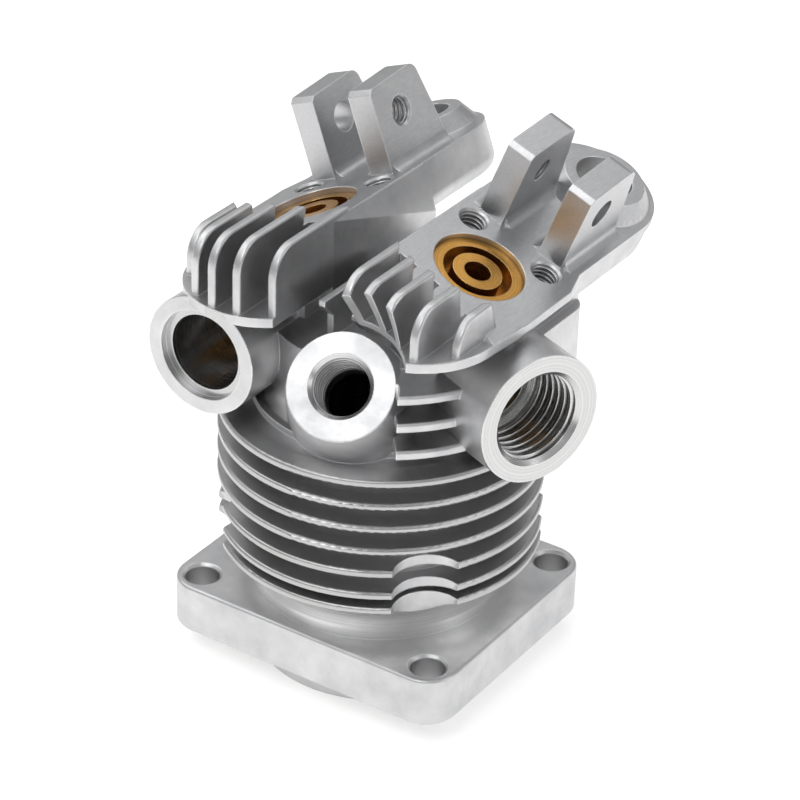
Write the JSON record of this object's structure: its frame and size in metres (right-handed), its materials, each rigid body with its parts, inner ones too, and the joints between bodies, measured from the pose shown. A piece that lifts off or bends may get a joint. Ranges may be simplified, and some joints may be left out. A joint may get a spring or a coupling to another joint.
{
  "type": "cylinder head",
  "caption": "Finned aluminium cylinder head with its barrel and bolt flange in one casting, two tilted rocker platforms with ears, inlet and exhaust ports and a plug boss.",
  "frame": {"origin": "centre of the cylinder bore on the underside of the bolt flange", "axes": "+Z is the cylinder axis, pointing up to the valves; +X is the exhaust side, -X the inlet side; the ports face -Y and the pushrods pass at the +Y end"},
  "size_m": [0.0424, 0.0475, 0.0579],
  "materials": {
    "cast_aluminium": "satin blasted casting with bright machined faces and edges",
    "liner_steel": "honed",
    "bronze": "turned, satin",
    "seat_bronze": "turned, satin"
  },
  "bodies": {
    "root": {"head_casting": "cast_aluminium", "cylinder_liner": "liner_steel", "inlet_valve_guide": "bronze", "exhaust_valve_guide": "bronze", "inlet_valve_seat": "seat_bronze", "exhaust_valve_seat": "seat_bronze"}
  },
  "joints": []
}
